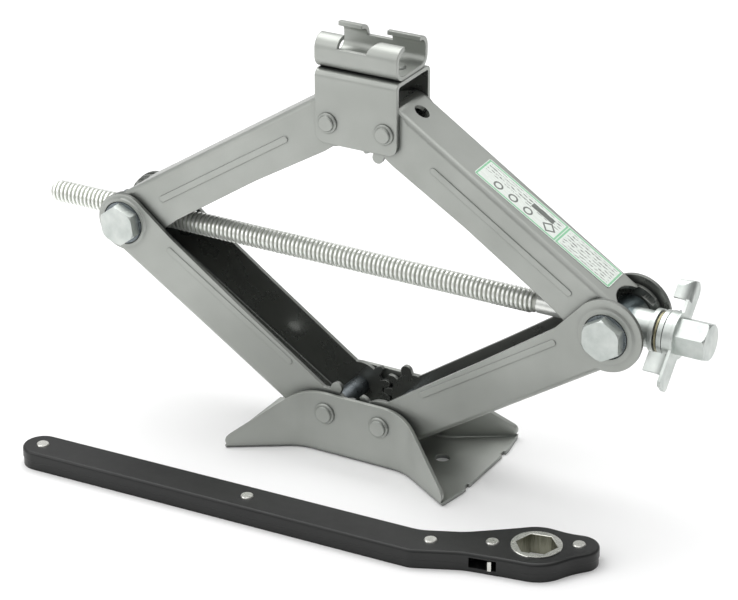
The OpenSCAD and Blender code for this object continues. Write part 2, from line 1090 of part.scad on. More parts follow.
// The four corners of the strip that touches two circles on both sides
function belt(a, ra, b, rb) =
    let (
        gap = norm(b - a),
        along = atan2(b[1] - a[1], b[0] - a[0]),
        lean = acos((ra - rb) / gap)
    )
    [
        a + polar(ra, along - lean), b + polar(rb, along - lean),
        b + polar(rb, along + lean), a + polar(ra, along + lean)
    ];

// The angle of the line that touches two circles on the right-hand side of the way from a to b
function touch_angle(a, ra, b, rb) =
    atan2(b[1] - a[1], b[0] - a[0]) - acos((ra - rb) / norm(b - a));

// Turn between two angles, from -90 up to 270 degrees
function turn(from, to) = (to - from + 810) % 360 - 90;

// Points around one circle between two touching lines: an arc, or an eased inner corner
function round_corner(c, r, from, to) =
    let (
        sweep = turn(from, to),
        steps = ceil(sweep / arc_step),
        corner = c + polar(r / cos(sweep / 2), from + sweep / 2),
        back = -polar(waist_ease, from + 90),
        ahead = polar(waist_ease, to + 90)
    )
    sweep > 0
        ? [for (i = [0:steps]) c + polar(r, from + sweep * i / steps)]
        : [for (t = [0:0.25:1]) corner + (1 - t) * (1 - t) * back + t * t * ahead];

// Outline of the handle: there and back along its circles, drawn smaller by an inset
function handle_outline(inset) =
    let (
        n = len(handle_circles),
        path = concat([for (i = [0:n - 1]) i], [for (i = [n - 2:-1:1]) i]),
        m = len(path),
        at = [for (i = path) handle_circles[i][0]],
        radius = [for (i = path) handle_circles[i][1]],
        touch = [for (k = [0:m - 1])
            touch_angle(at[k], radius[k], at[(k + 1) % m], radius[(k + 1) % m])]
    )
    [for (k = [0:m - 1])
        each round_corner(at[k], radius[k] - inset, touch[(k + m - 1) % m], touch[k])];

// Plan view of the handle, drawn smaller by an inset
module handle_plan(inset) {
    polygon(handle_outline(inset));
}

// A place in the handle's head: x runs from the neck to the tip
module in_head() {
    translate(concat(socket_at, [0]))
        rotate(head_angle)
            children();
}

module handle_rivet_holes() {
    for (p = handle_rivet_places)
        translate(concat(p, [-1]))
            cylinder(r = handle_rivet_r, h = handle_h + 2, $fn = 32);
}

// What both shells are cut by: the hub's hole and the side window
module handle_cuts() {
    translate(concat(socket_at, [-1]))
        cylinder(r = hub_r + run_gap, h = handle_h + 2);
    in_head()
        translate(window_at)
            cube(window_size);
    handle_rivet_holes();
}

module handle_lower_shell() {
    color("#26282a")
        difference() {
            union() {
                difference() {
                    linear_extrude(seam_z)
                        handle_plan(shell_step);
                    translate([0, 0, shell_t])
                        linear_extrude(seam_z)
                            handle_plan(shell_step + shell_t);
                }
                plunger_guide();
            }
            handle_cuts();
            for (p = handle_rivet_places)
                translate(concat(p, [-1]))
                    cylinder(r = handle_rivet_head_r, h = 1 + handle_rivet_head_h, $fn = 32);
        }
}

module handle_upper_shell() {
    color("#26282a")
        difference() {
            translate([0, 0, seam_z])
                linear_extrude(handle_h - seam_z)
                    handle_plan(0);
            translate([0, 0, seam_z - 1])
                linear_extrude(handle_h - shell_t - seam_z + 1)
                    handle_plan(shell_t);
            handle_cuts();
        }
}

module handle_rivets() {
    color("whitesmoke")
        for (p = handle_rivet_places)
            translate(concat(p, [0])) {
                cylinder(r = handle_rivet_head_r, h = handle_rivet_head_h, $fn = 32);
                cylinder(r = handle_rivet_r, h = handle_h + tiny, $fn = 32);
                translate([0, 0, handle_h])
                    cylinder(r1 = handle_rivet_head_r, r2 = handle_rivet_head_r - 0.5,
                        h = handle_rivet_head_h, $fn = 32);
            }
}

// Points of the ratchet ring's toothed outline
function ratchet_points() = [
    for (i = [0:ratchet_teeth - 1]) let (a = i * 360 / ratchet_teeth)
        each [
            polar(ratchet_root_r, a - 1.5), polar(ratchet_root_r, a + 1.5),
            polar(ratchet_tip_r, a + 6), polar(ratchet_tip_r, a + 9)
        ]
];

module ratchet_socket() {
    across = socket_af / cos(30) / 2;
    color("silver")
        translate(concat(socket_at, [0]))
            difference() {
                union() {
                    translate([0, 0, 0.2])
                        cylinder(r = hub_r, h = handle_h + hub_proud - 0.2);
                    translate([0, 0, ratchet_z0])
                        linear_extrude(ratchet_z1 - ratchet_z0)
                            rotate(pawl_line + pawl_mesh)
                                polygon(ratchet_points());
                }
                rotate(socket_turn)
                    translate([0, 0, -1])
                        cylinder(r = across, h = handle_h + 4, $fn = 6);
            }
}

// Half of the pawl: a leg and a nose, as it lies when the nose is in a tooth gap.
// The pivot is the origin and +X points at the socket.
module pawl_half() {
    translate([pawl_reach, 0])
        rotate(180 - pawl_mesh)
            polygon([
                [17.5, -0.25], [18.9, -1.3], [20.8, -1.9],
                [20.8, 1.9], [18.9, 1.3], [17.5, 0.25]
            ]);
    polygon(belt([0, 0], pawl_root_r, pawl_elbow, pawl_elbow_r));
    translate(pawl_elbow)
        circle(r = pawl_elbow_r);
}

module pawl() {
    color("silver")
        translate(concat(pawl_pivot, [pawl_z0]))
            rotate(pawl_line + 180 + pawl_swing)
                difference() {
                    linear_extrude(pawl_z1 - pawl_z0) {
                        circle(r = pawl_hub_r);
                        rotate(pawl_swing)
                            pawl_half();
                        mirror([0, 1])
                            rotate(pawl_swing)
                                pawl_half();
                        rotate(-90 - pawl_swing)
                            translate([0, -pawl_tail_half])
                                square([pawl_tail, 2 * pawl_tail_half]);
                    }
                    translate([0, 0, -1])
                        cylinder(r = handle_rivet_r + run_gap, h = handle_h, $fn = 32);
                }
}

// The block in the lower shell that holds the detent plunger and its spring
module plunger_guide() {
    in_head()
        difference() {
            translate([plunger_back_x - guide_wall, -guide_half, shell_t - tiny])
                cube([guide_len, 2 * guide_half, guide_top - shell_t]);
            translate([0, 0, plunger_z])
                rod_x(plunger_r + 0.1, plunger_back_x, 0);
        }
}

module detent_plunger() {
    front_x = -pawl_reach - pawl_hub_r - 0.15;
    color("silver")
        in_head()
            translate([0, 0, plunger_z]) {
                rod_x(plunger_r, plunger_back_x + spring_room, front_x - plunger_r);
                translate([front_x - plunger_r, 0, 0])
                    rotate([0, 90, 0])
                        cylinder(r1 = plunger_r, r2 = 0.8, h = plunger_r);
            }
}

// A wire coil swept as one polyhedron along +X
module detent_spring() {
    sides = 8;
    rings = 16 * spring_turns;
    len_x = spring_room - 2 * spring_wire_r - 2 * run_gap;
    points = [
        for (i = [0:rings], j = [0:sides - 1]) let (
            t = 360 * spring_turns * i / rings,
            w = 360 * j / sides,
            r = spring_coil_r + spring_wire_r * cos(w)
        )
            [len_x * i / rings + spring_wire_r * sin(w), r * cos(t), r * sin(t)]
    ];
    faces = concat(
        [[for (j = [0:sides - 1]) j]],
        [[for (j = [sides - 1:-1:0]) rings * sides + j]],
        [
            for (i = [0:rings - 1], j = [0:sides - 1])
                [
                    i * sides + j, (i + 1) * sides + j,
                    (i + 1) * sides + (j + 1) % sides, i * sides + (j + 1) % sides
                ]
        ]
    );
    color("gray")
        in_head()
            translate([plunger_back_x + spring_wire_r + run_gap, 0, plunger_z])
                polyhedron(points, faces);
}

base_plate();
base_pivot_pins();
base_spacer_bushes();
base_thrust_washers();
lower_left_arm();
lower_right_arm();
upper_left_arm();
upper_right_arm();
nut_block();
left_shoulder_bolts();
left_head_washers();
left_spacer_washers();
bearing_block();
right_shoulder_bolts();
right_head_washers();
right_spacer_washers();
thrust_race_fixed();
thrust_balls();
thrust_ball_cage();
thrust_race_turning();
lead_screw();
drive_head();
drive_pin();
drive_yoke();
top_bracket();
top_pivot_pins();
top_spacer_bushes();
saddle();
saddle_rivets();
instruction_label();
handle_lower_shell();
handle_upper_shell();
handle_rivets();
ratchet_socket();
pawl();
detent_plunger();
detent_spring();
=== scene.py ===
"""Looks for a scissor jack and the ratchet handle that lies in front of it.

Lengths are in metres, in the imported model's frame: +X runs along the screw to its drive end,
+Z is up, and the floor is at zero. The pieces' own sizes are given in millimetres, times MM.
"""

import json
import math

import bmesh
import bpy
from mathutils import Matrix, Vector


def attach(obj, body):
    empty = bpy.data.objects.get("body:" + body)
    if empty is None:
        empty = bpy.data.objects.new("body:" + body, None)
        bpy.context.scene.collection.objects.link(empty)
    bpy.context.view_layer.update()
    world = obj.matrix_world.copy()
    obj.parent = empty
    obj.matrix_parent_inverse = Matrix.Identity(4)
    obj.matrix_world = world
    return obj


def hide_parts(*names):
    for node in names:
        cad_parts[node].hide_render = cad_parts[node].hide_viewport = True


MM = 0.001

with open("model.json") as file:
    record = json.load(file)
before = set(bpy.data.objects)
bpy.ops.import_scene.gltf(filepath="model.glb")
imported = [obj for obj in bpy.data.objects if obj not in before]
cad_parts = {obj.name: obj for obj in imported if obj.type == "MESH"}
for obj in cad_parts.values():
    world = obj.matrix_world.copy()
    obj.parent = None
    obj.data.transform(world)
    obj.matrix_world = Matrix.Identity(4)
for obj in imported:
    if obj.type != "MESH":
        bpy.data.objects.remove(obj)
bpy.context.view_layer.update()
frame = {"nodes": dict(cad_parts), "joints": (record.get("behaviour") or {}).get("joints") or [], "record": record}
record = frame["record"]
SLOT_OF = {row["node"]: row["material_slot"] for row in record["subparts"]}
BODY_OF = {n: body for body, names in record["behaviour"]["bodies"].items() for n in names}
PIVOT = {j["name"]: Vector(j["pos_m"]) for j in frame["joints"] if "pos_m" in j}


# ---- camera ----

AZIMUTH = math.radians(29.4)
ELEVATION = math.radians(25.3)
DISTANCE = 1.7955
TARGET = Vector((-0.0024, 0.0, 0.0978))
LENS = 143.8


def make_camera():
    back = Vector((
        math.sin(AZIMUTH) * math.cos(ELEVATION),
        -math.cos(AZIMUTH) * math.cos(ELEVATION),
        math.sin(ELEVATION),
    ))
    data = bpy.data.cameras.new("camera")
    data.lens = LENS
    data.clip_end = 50
    camera = bpy.data.objects.new("camera", data)
    camera.location = TARGET + back * DISTANCE
    camera.rotation_mode = "QUATERNION"
    camera.rotation_quaternion = (-back).to_track_quat("-Z", "Y")
    bpy.context.scene.collection.objects.link(camera)
    bpy.context.scene.camera = camera


# ---- materials ----


class Shader:
    """A principled material, and short calls that add nodes to it."""

    def __init__(self, name, coordinates="Object"):
        self.material = bpy.data.materials.new(name)
        self.material.use_nodes = True
        self.nodes = self.material.node_tree.nodes
        self.links = self.material.node_tree.links
        self.surface = next(n for n in self.nodes if n.type == "BSDF_PRINCIPLED")
        self.place = self.nodes.new("ShaderNodeTexCoord").outputs[coordinates]

    def set(self, **values):
        """Sets uniform values on the surface's own sockets."""
        for name, value in values.items():
            self.surface.inputs[name.replace("_", " ")].default_value = value

    def link(self, output, name):
        self.links.new(output, self.surface.inputs[name])

    def add(self, kind, *inputs, **settings):
        """A node of a kind. Inputs are sockets to link or values to set, and None leaves one alone."""
        node = self.nodes.new(kind)
        for name, value in settings.items():
            setattr(node, name, value)
        for socket, value in zip(node.inputs, inputs):
            if isinstance(value, bpy.types.NodeSocket):
                self.links.new(value, socket)
            elif value is not None:
                socket.default_value = value
        return node

    def math(self, operation, *inputs):
        return self.add("ShaderNodeMath", *inputs, operation=operation).outputs[0]

    def gap(self, a, b):
        """How far apart two values are."""
        return self.math("ABSOLUTE", self.math("SUBTRACT", a, b))

    def hypotenuse(self, a, b):
        squares = self.math("ADD", self.math("POWER", a, 2.0), self.math("POWER", b, 2.0))
        return self.math("SQRT", squares)

    def stretched(self, x, y, z):
        """The surface's place, with each axis scaled."""
        mapping = self.add("ShaderNodeMapping", self.place)
        mapping.inputs["Scale"].default_value = (x, y, z)
        return mapping.outputs[0]

    def noise(self, scale, detail=2.0, roughness=0.5, place=None):
        node = self.nodes.new("ShaderNodeTexNoise")
        self.links.new(place or self.place, node.inputs["Vector"])
        node.inputs["Scale"].default_value = scale
        node.inputs["Detail"].default_value = detail
        node.inputs["Roughness"].default_value = roughness
        return node.outputs[0]

    def span(self, value, low, high, from_low=0.3, from_high=0.7):
        """Stretches a value from one range to another."""
        return self.add("ShaderNodeMapRange", value, from_low, from_high, low, high).outputs[0]

    def ramp(self, value, *stops):
        """Colours along a value. A stop is (position, (r, g, b))."""
        node = self.add("ShaderNodeValToRGB", value)
        while len(node.color_ramp.elements) < len(stops):
            node.color_ramp.elements.new(0.5)
        for element, (position, colour) in zip(node.color_ramp.elements, stops):
            element.position = position
            element.color = (*colour, 1)
        return node.outputs[0]

    def mix(self, amount, a, b):
        """Colour a where amount is 0, and b where it is 1."""
        node = self.nodes.new("ShaderNodeMix")
        node.data_type = "RGBA"
        for name, value in (("Factor_Float", amount), ("A_Color", a), ("B_Color", b)):
            socket = next(s for s in node.inputs if s.identifier == name)
            if isinstance(value, bpy.types.NodeSocket):
                self.links.new(value, socket)
            else:
                socket.default_value = (*value, 1) if isinstance(value, tuple) else value
        return next(s for s in node.outputs if s.identifier == "Result_Color")

    def shelter(self, reach, low, high):
        """A mask for painted shade: 0 in the open, rising to 1 in folds and deep inside, within a reach.

        The change runs from a share high of open surroundings down to a share low.
        """
        node = self.nodes.new("ShaderNodeAmbientOcclusion")
        node.samples = 4
        node.inputs["Distance"].default_value = reach
        return self.span(node.outputs["AO"], 1.0, 0.0, low, high)

    def bump(self, *layers, edge=None):
        """Stacks bumps. A layer is (height output, strength, distance in metres).

        edge is the radius to which the surface's sharp edges look worn round.
        """
        normal = None
        if edge:
            round_off = self.nodes.new("ShaderNodeBevel")
            round_off.samples = 6
            round_off.inputs["Radius"].default_value = edge
            normal = round_off.outputs[0]
        for height, strength, distance in layers:
            node = self.nodes.new("ShaderNodeBump")
            node.inputs["Strength"].default_value = strength
            node.inputs["Distance"].default_value = distance
            self.links.new(height, node.inputs["Height"])
            if normal:
                self.links.new(normal, node.inputs["Normal"])
            normal = node.outputs[0]
        self.link(normal, "Normal")


def painted_steel(name="painted_steel", shade=1.0, shine=(0.36, 0.48)):
    """Silver-grey stoving paint on pressed sheet, with a faint orange peel. Folds and deep insides are darkened
    with painted shade.
    """
    s = Shader(name)
    cloud = s.noise(18, 3)
    flake = s.noise(5200, 1)
    tone = s.math("ADD", s.math("MULTIPLY", cloud, 0.75), s.math("MULTIPLY", flake, 0.25))
    paint = s.ramp(tone, (0.3, [shade * v for v in (0.345, 0.36, 0.335)]),
                   (0.7, [shade * v for v in (0.43, 0.447, 0.42)]))
    # Painted shade: the base colour turns near black in tight creases and, more widely, deep inside folds and
    # channels.
    crease_shade = s.math("MULTIPLY", s.shelter(2.5 * MM, 0.45, 0.97), 0.35)
    painted_shading = s.math("MAXIMUM", s.shelter(9 * MM, 0.1, 0.8), crease_shade)
    s.link(s.mix(painted_shading, paint, (0.10, 0.108, 0.104)), "Base Color")
    s.link(s.span(s.noise(60, 4), *shine), "Roughness")
    s.set(Metallic=0.72, Coat_Weight=0.25, Coat_Roughness=0.2)
    s.bump((s.noise(420, 2), 0.08, 0.15 * MM), (s.noise(2600, 1), 0.04, 0.05 * MM), edge=0.8 * MM)
    return s.material


def zinc_steel(name="zinc_steel", greasy_until=None):
    """Bright zinc plating, slightly uneven, with a fine grain. It is dark with grease up to an X."""
    s = Shader(name)
    patch = s.noise(110, 4, 0.55)
    colour = s.ramp(patch, (0.3, (0.50, 0.54, 0.515)), (0.55, (0.59, 0.625, 0.60)),
                    (0.75, (0.66, 0.69, 0.66)))
    if greasy_until is not None:
        x = s.add("ShaderNodeSeparateXYZ", s.place).outputs["X"]
        ragged = s.math("MULTIPLY_ADD", s.noise(300, 3), 3 * MM, x)
        grease = s.span(ragged, 1.0, 0.0, greasy_until, greasy_until + 4 * MM)
        colour = s.mix(grease, colour, (0.10, 0.125, 0.13))
    s.link(colour, "Base Color")
    s.link(s.span(s.noise(260, 3), 0.32, 0.46), "Roughness")
    s.set(Metallic=0.8)
    s.bump((s.noise(700, 2), 0.05, 0.06 * MM), edge=0.3 * MM)
    return s.material


def thread_steel(axis_z, crest_r, root_r, bright_from):
    """The screw: bright crests and a bright end past an X, with painted shade darkening the flanks and grooves,
    and a random mottle.
    """
    s = Shader("thread_steel")
    split = s.add("ShaderNodeSeparateXYZ", s.place).outputs
    height = s.math("SUBTRACT", split["Z"], axis_z)
    radius = s.hypotenuse(split["Y"], height)
    depth = s.span(radius, 0.0, 1.0, root_r, crest_r)
    depth = s.math("MAXIMUM", depth, s.math("GREATER_THAN", split["X"], bright_from))
    # Painted shade: the colour darkens from crest to root, with a random mottle from the noise.
    painted_shading = s.math("MULTIPLY_ADD", s.noise(260, 4, 0.6), 0.35, s.math("SUBTRACT", depth, 0.175))
    s.link(s.ramp(painted_shading, (0.0, (0.56, 0.575, 0.53)), (0.4, (0.77, 0.79, 0.74)), (0.8, (0.92, 0.94, 0.90))),
           "Base Color")
    s.link(s.span(painted_shading, 0.55, 0.30, 0.0, 1.0), "Roughness")
    s.set(Metallic=0.6)
    s.bump((s.noise(1100, 3), 0.10, 0.05 * MM))
    return s.material


def bright_steel():
    """Ground steel with fine scratches."""
    s = Shader("bright_steel")
    scratches = s.noise(500, 3, 0.6, s.stretched(1, 6, 1))
    s.link(s.ramp(s.noise(160, 4), (0.3, (0.60, 0.60, 0.56)), (0.7, (0.80, 0.80, 0.76))), "Base Color")
    s.link(s.span(scratches, 0.22, 0.40), "Roughness")
    s.set(Metallic=1.0)
    s.bump((scratches, 0.10, 0.04 * MM), edge=0.4 * MM)
    return s.material


def shaded_bore_steel():
    """The broached inside of the socket, streaked, and darkened with painted shade."""
    s = Shader("shaded_bore_steel")
    streaks = s.noise(300, 3, 0.6, s.stretched(3, 3, 0.3))
    # Painted shade: a dark base colour stands for the shade inside the bore; the streaks are broaching marks.
    s.link(s.ramp(streaks, (0.3, (0.17, 0.17, 0.13)), (0.7, (0.33, 0.33, 0.26))), "Base Color")
    s.link(s.span(streaks, 0.30, 0.46), "Roughness")
    s.set(Metallic=0.9)
    s.bump((streaks, 0.12, 0.05 * MM))
    return s.material


def dark_steel():
    """Oiled, blue-grey steel inside the linkage."""
    s = Shader("dark_steel")
    s.link(s.ramp(s.noise(120, 4), (0.3, (0.10, 0.115, 0.125)), (0.7, (0.22, 0.245, 0.26))), "Base Color")
    s.link(s.span(s.noise(300, 3), 0.22, 0.42), "Roughness")
    s.set(Metallic=0.85)
    s.bump((s.noise(800, 3), 0.12, 0.06 * MM), edge=0.4 * MM)
    return s.material


def cage_brass():
    """The ball ring's pressed cage, greased and dull."""
    s = Shader("cage_brass")
    s.link(s.ramp(s.noise(400, 3), (0.3, (0.20, 0.185, 0.11)), (0.7, (0.36, 0.335, 0.22))), "Base Color")
    s.link(s.span(s.noise(500, 3), 0.30, 0.45), "Roughness")
    s.set(Metallic=0.9)
    s.bump((s.noise(1500, 2), 0.10, 0.04 * MM))
    return s.material


def black_satin():
    """The handle's satin black coating, faintly textured and rubbed."""
    s = Shader("black_satin")
    rub = s.noise(22, 5, 0.6, s.stretched(0.4, 1, 1))
    s.link(s.ramp(rub, (0.35, (0.006, 0.0064, 0.0064)), (0.7, (0.014, 0.0148, 0.014))), "Base Color")
    s.link(s.span(s.noise(45, 5, 0.6), 0.30, 0.44), "Roughness")
    s.set(Specular_IOR_Level=0.42)
    s.bump((s.noise(1500, 3, 0.6), 0.14, 0.06 * MM), (s.noise(90, 2), 0.05, 0.25 * MM), edge=0.5 * MM)
    return s.material


GREEN_INK = (0.16, 0.55, 0.27)
GREY_INK = (0.10, 0.11, 0.10)
FILM = (0.80, 0.85, 0.80)


def printed_film(length, width):
    """A pale printed label: green frames around grey rows that spell nothing, and a few plain shapes."""
    s = Shader("printed_film", "UV")
    split = s.add("ShaderNodeSeparateXYZ", s.place).outputs
    along = s.math("MULTIPLY", split["X"], length)
    across = s.math("MULTIPLY", split["Y"], width)

    def inside(value, low, high):
        above = s.math("GREATER_THAN", value, low)
        return s.math("MULTIPLY", above, s.math("LESS_THAN", value, high))

    def panel(start, end, margin):
        return s.math("MULTIPLY", inside(along, start + margin, end - margin),
                      inside(across, margin, width - margin))

    rim = 0.5 * MM
    line = 1.2 * MM
    clear = 1.2 * MM
    divider = 0.6 * length
    framed = printed = None
    for start, end in ((0, divider), (divider - rim, length)):
        outer, inner, text = (panel(start, end, m) for m in (rim, rim + line, rim + line + clear))
        frame_line = s.math("SUBTRACT", outer, inner)
        framed = frame_line if framed is None else s.math("MAXIMUM", framed, frame_line)
        printed = text if printed is None else s.math("MAXIMUM", printed, text)
    row = 2.6 * MM
    in_row = s.math("LESS_THAN", s.math("MODULO", across, row), 0.42 * row)
    words = s.noise(1.0, 2, 0.6, s.stretched(length * 330, width / row * 3.1, 1))
    word = s.math("GREATER_THAN", words, 0.5)
    plain = s.math("MAXIMUM", s.math("GREATER_THAN", across, width / 2),
                   s.math("GREATER_THAN", along, divider))
    ink = s.math("MULTIPLY", s.math("MULTIPLY", printed, plain), s.math("MULTIPLY", in_row, word))
    block = s.math("MULTIPLY", inside(along, 0.36 * length, 0.52 * length),
                   inside(across, 0.56 * width, 0.76 * width))
    ring_r, ring_line = 2.7 * MM, 0.6 * MM
    diamond_r, diamond_line = 4.2 * MM, 0.8 * MM
    marks = block
    for centre in (0.15, 0.26, 0.37):
        from_mark = s.math("SUBTRACT", along, centre * length)
        from_middle = s.math("SUBTRACT", across, 0.28 * width)
        ring = s.math("LESS_THAN", s.gap(s.hypotenuse(from_mark, from_middle), ring_r), ring_line)
        marks = s.math("MAXIMUM", marks, ring)
    lean = s.math("ADD", s.gap(along, 0.52 * length), s.gap(across, 0.33 * width))
    diamond = s.math("LESS_THAN", s.gap(lean, diamond_r), diamond_line)
    marks = s.math("MAXIMUM", marks, diamond)
    paper = s.mix(s.math("MULTIPLY", ink, 0.8), FILM, GREY_INK)
    paper = s.mix(s.math("MULTIPLY", marks, 0.9), paper, GREY_INK)
    s.link(s.mix(s.math("MULTIPLY", framed, 0.8), paper, GREEN_INK), "Base Color")
    s.link(s.span(s.noise(9, 3), 0.22, 0.34), "Roughness")
    s.set(Specular_IOR_Level=0.5)
    s.bump((s.noise(14, 2), 0.05, 0.2 * MM))
    return s.material


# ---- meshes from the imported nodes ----


WELD = 0.002 * MM
FLAT = math.radians(0.6)
LEVEL = 0.02 * MM


def link_piece(mesh, name, node, material):
    """An object for a mesh that stands for a CAD node and rides where the node does."""
    piece = bpy.data.objects.new(name, mesh)
    bpy.context.scene.collection.objects.link(piece)
    mesh.materials.clear()
    mesh.materials.append(material)
    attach(piece, BODY_OF[node])
    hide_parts(node)
    return piece


def clean_copy(node):
    """A node's mesh as a bmesh, with its seams closed and its flat faces made whole."""
    bm = bmesh.new()
    bm.from_mesh(frame["nodes"][node].data)
    bmesh.ops.remove_doubles(bm, verts=bm.verts, dist=WELD)
    bmesh.ops.dissolve_limit(
        bm, angle_limit=FLAT, use_dissolve_boundaries=False,
        verts=bm.verts, edges=bm.edges, delimit=set())
    bm.normal_update()
    return bm


def round_edges(bm, wanted, width, segments):
    """Rounds the edges for which wanted(edge) is true."""
    edges = [e for e in bm.edges if len(e.link_faces) == 2 and wanted(e)]
    if edges:
        bmesh.ops.bevel(
            bm, geom=edges, offset=width, offset_type="OFFSET", segments=segments,
            profile=0.5, affect="EDGES", clamp_overlap=False)
        bm.normal_update()


def finish(node, material, rounds=(), sharp=32):
    """Replaces a node by a smooth-shaded copy, whose edges stay sharp above an angle in degrees.

    Each of rounds is (wanted(edge), width, segments).
    """
    bm = clean_copy(node)
    for wanted, wide, steps in rounds:
        round_edges(bm, wanted, wide, steps)
    mesh = bpy.data.meshes.new(node + "_finished")
    bm.to_mesh(mesh)
    bm.free()
    mesh.shade_smooth()
    mesh.set_sharp_from_angle(angle=math.radians(sharp))
    piece = link_piece(mesh, node + "_finished", node, material)
    flat = piece.modifiers.new("flat_faces", "WEIGHTED_NORMAL")
    flat.keep_sharp = True
    flat.weight = 100
    return piece


# A cut edge is about as wide as its sheet is thick.
CUT_LEAST = 1.5 * MM
CUT_MOST = 3.3 * MM


def paint_sheet(node, start, end):
    """A pressed channel, painted, darker on its flanges' cut edges, and darkened with painted shade on its
    glossier, oiled inside.

    start and end are the ends of the line that runs inside the channel.
    """
    mesh = finish(node, PAINT).data
    mesh.materials.append(CUT_EDGE)
    mesh.materials.append(SHADED_INSIDE)
    run = (end - start).normalized()
    for face in mesh.polygons:
        ys = [mesh.vertices[i].co.y for i in face.vertices]
        away = face.center - start
        away -= away.dot(run) * run
        if CUT_LEAST < max(ys) - min(ys) < CUT_MOST and abs(face.normal.y) < 0.2:
            face.material_index = mesh.materials.find(CUT_EDGE.name)
        # Faces that look into the channel take the darker inside paint, which is painted shade.
        elif away.normalized().dot(face.normal) < -0.3:
            face.material_index = mesh.materials.find(SHADED_INSIDE.name)


def heights(e):
    return [v.co.z for v in e.verts]


def level_distance(e, place):
    """How far an edge's middle is from a place, seen from above."""
    return ((e.verts[0].co + e.verts[1].co) / 2 - place).to_2d().length


def folded_edge(z, far_y):
    """Finds the base's lengthwise edges at a height, outside a distance from the middle plane."""
    def wanted(e):
        a, b = (v.co for v in e.verts)
        lengthwise = abs(a.x - b.x) > 0.6 * (a - b).length and (a - b).length > 1.5 * MM
        at_height = all(abs(h - z) < LEVEL for h in heights(e))
        return lengthwise and at_height and min(abs(a.y), abs(b.y)) > far_y
    return wanted


def top_rim(node, around, clear):
    """Finds a shell's outer rim at its top, away from the hole around a point.

    The rivet holes' edges are shorter than the rim's, and the edges across the top are flat.
    """
    top = max(v.co.z for v in frame["nodes"][node].data.vertices)

    def wanted(e):
        at_top = min(heights(e)) > top - LEVEL
        corner = e.calc_length() > 0.8 * MM and e.calc_face_angle(0.0) > 0.5
        return at_top and corner and level_distance(e, around) > clear
    return wanted


# ---- the socket, the screw's thread and the label ----


BORE_R = 12 * MM
MOUTH_R = 12.4 * MM
MOUTH_Z = 12.5 * MM


def make_socket():
    """The socket ring, whose broached hexagon is darkened with painted shade against its polished faces."""
    mesh = finish("ratchet_socket", BRIGHT, rounds=((socket_mouth, 0.5 * MM, 2),)).data
    bore = shaded_bore_steel()
    mesh.materials.append(bore)
    for face in mesh.polygons:
        outward = face.center.xy - SOCKET.xy
        # Faces inside the hexagon bore take the painted-shade material.
        if abs(face.normal.z) < 0.5 and outward.length < BORE_R and outward.dot(face.normal.xy) < 0:
            face.material_index = mesh.materials.find(bore.name)


def socket_mouth(e):
    """Finds the edges of the hexagon at the socket's top."""
    return min(heights(e)) > MOUTH_Z and level_distance(e, SOCKET) < MOUTH_R


PITCH = 3 * MM
CREST_R = 7 * MM
ROOT_R = 5.4 * MM
SHANK_R = 6 * MM
DRIVE_R = 5 * MM
DRIVE_LENGTH = 14 * MM
THREAD_TO_TRUNNION = 53 * MM
AROUND = 32


def tube(points, axis_z):
    """Vertices and faces of a round body about the screw's line. points are (x, radius)."""
    verts = [(x, r * math.cos(math.tau * i / AROUND), axis_z + r * math.sin(math.tau * i / AROUND))
             for x, r in points for i in range(AROUND)]
    faces = [(k * AROUND + i, k * AROUND + (i + 1) % AROUND,
              (k + 1) * AROUND + (i + 1) % AROUND, (k + 1) * AROUND + i)
             for k in range(len(points) - 1) for i in range(AROUND)]
    faces.append(tuple(range(AROUND - 1, -1, -1)))
    faces.append(tuple((len(points) - 1) * AROUND + i for i in range(AROUND)))
    return verts, faces


def thread(start, end, axis_z):
    """Vertices and faces of a right-handed helix of trapezoidal thread.

    A corner of the profile is (share of the pitch, radius). The thread grows out of the core over its
    first two thirds of a turn, and sinks back into it over its last.
    """
    profile = ((0.0, CREST_R), (0.42, CREST_R), (0.56, ROOT_R), (0.86, ROOT_R))
    corners = len(profile)
    sunk_r = ROOT_R - 0.05 * MM
    steps = int((end - start) / PITCH) * AROUND
    verts, faces = [], []
    for t in range(steps + 1):
        angle = math.tau * t / AROUND
        grown = min(1.0, t / AROUND * 1.5, (steps - t) / AROUND * 1.5)
        for part, full_r in profile:
            x = start + (t / AROUND + part) * PITCH
            r = sunk_r + (full_r - sunk_r) * grown
            verts.append((x, r * math.cos(angle), axis_z + r * math.sin(angle)))
    for t in range(steps):
        for k in range(corners):
            a, b = t * corners + k, (t + 1) * corners + k
            c, d = b + 1, a + 1
            if k == corners - 1:
                c, d = (t + 1 + AROUND) * corners, (t + AROUND) * corners
            if max(c, d) < len(verts):
                faces.append((a, b, c, d))
    return verts, faces


def make_screw(axis_z):
    """The lead screw: a core, a real helical thread on it and a plain shank to the drive end."""
    xs = [v.co.x for v in frame["nodes"]["lead_screw"].data.vertices]
    start, end = min(xs), max(xs)
    shank_from = PIVOT["screw_spin"].x - THREAD_TO_TRUNNION
    drive_from = end - DRIVE_LENGTH
    core_r = ROOT_R - 0.03 * MM
    tip = 1 * MM
    cone = 0.6 * MM
    parts = (
        tube([(start, core_r - tip), (start + tip, core_r), (shank_from, core_r)], axis_z),
        thread(start + 1.2 * MM, shank_from - 0.2 * PITCH, axis_z),
        tube([(shank_from - cone, core_r), (shank_from, SHANK_R), (drive_from, SHANK_R),
              (drive_from, DRIVE_R), (end, DRIVE_R)], axis_z),
    )
    verts, faces = [], []
    for more_verts, more_faces in parts:
        first = len(verts)
        verts += more_verts
        faces += [tuple(first + i for i in face) for face in more_faces]
    mesh = bpy.data.meshes.new("lead_screw_thread")
    mesh.from_pydata(verts, [], faces)
    mesh.shade_smooth()
    mesh.set_sharp_from_angle(angle=math.radians(24))
    link_piece(mesh, "lead_screw_thread", "lead_screw", thread_steel(axis_z, CREST_R, ROOT_R, shank_from))


